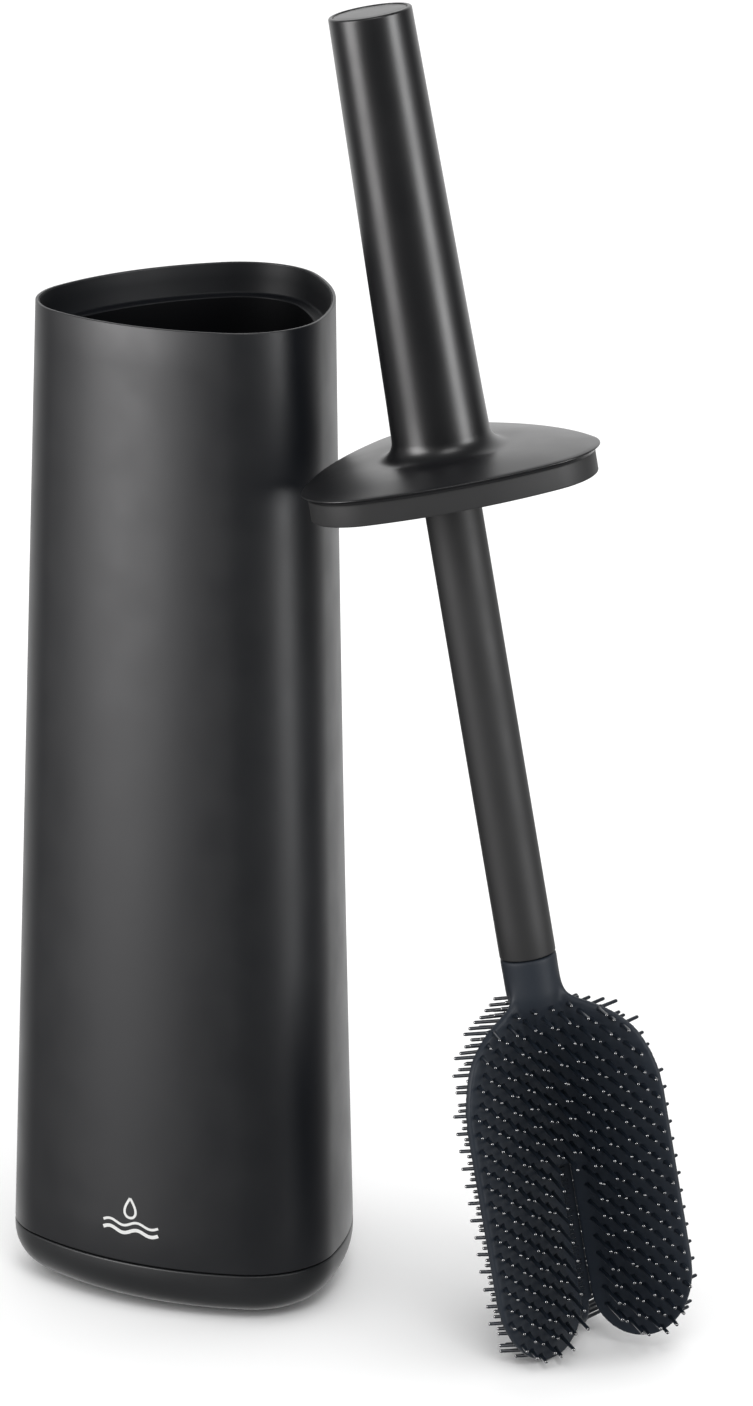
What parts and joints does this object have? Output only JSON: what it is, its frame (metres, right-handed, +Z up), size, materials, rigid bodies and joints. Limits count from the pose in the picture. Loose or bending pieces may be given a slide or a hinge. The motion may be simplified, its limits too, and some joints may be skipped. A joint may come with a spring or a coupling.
{
  "type": "toilet brush and holder",
  "caption": "Tall rounded-triangle toilet brush holder with a lift-off sleeve, and its lidded brush with a three-finned rubber head standing beside it.",
  "frame": {"origin": "centre of the holder's flat rubber foot, on the floor", "axes": "+Z up along the holder, +X to the right towards the brush, -Y towards the viewer; one corner of the holder points to -X"},
  "size_m": [0.2092, 0.1517, 0.4085],
  "materials": {
    "sleeve_plastic": "satin",
    "base_plastic": "satin",
    "cup_plastic": "satin",
    "foot_rubber": "matt",
    "handle_plastic": "satin",
    "shaft_plastic": "satin",
    "head_rubber": "silky",
    "bristle_rubber": "silky",
    "rod_steel": "drawn"
  },
  "bodies": {
    "base": {"base_pan": "base_plastic", "foot_mat": "foot_rubber"},
    "sleeve": {"outer_sleeve": "sleeve_plastic", "mouth_collar": "sleeve_plastic"},
    "cup": {"drip_cup": "cup_plastic"},
    "brush": {"handle_grip": "handle_plastic", "end_cap": "handle_plastic", "rod_screw": "rod_steel", "lid_skirt": "handle_plastic", "shaft_tube": "shaft_plastic", "core_rod": "rod_steel", "head_spigot": "shaft_plastic", "neck_collar": "head_rubber"},
    "head": {"head_core": "head_rubber", "fin_left": "head_rubber", "fin_right": "head_rubber", "fin_back": "head_rubber", "bristles_front": "bristle_rubber", "bristles_right": "bristle_rubber", "bristles_left": "bristle_rubber"}
  },
  "joints": [
    {"name": "sleeve_lift", "type": "slide", "parent": "base", "child": "sleeve", "axis": [0, 0, 1], "range_m": [0, 0.12]},
    {"name": "cup_lift", "type": "slide", "parent": "base", "child": "cup", "axis": [0, 0, 1], "range_m": [0, 0.04]},
    {"name": "brush_lift", "type": "slide", "parent": "base", "child": "brush", "axis": [0, 0, 1], "range_m": [0, 0.3]},
    {"name": "head_flex", "type": "hinge", "parent": "brush", "child": "head", "pos_m": [0.09927, -0.06421, 0.11695], "axis": [0.0081, 0.9988, -0.0489], "range_deg": [-25, 25], "stiffness_Nm_per_rad": 1.4, "deforming": ["neck_collar"]}
  ]
}
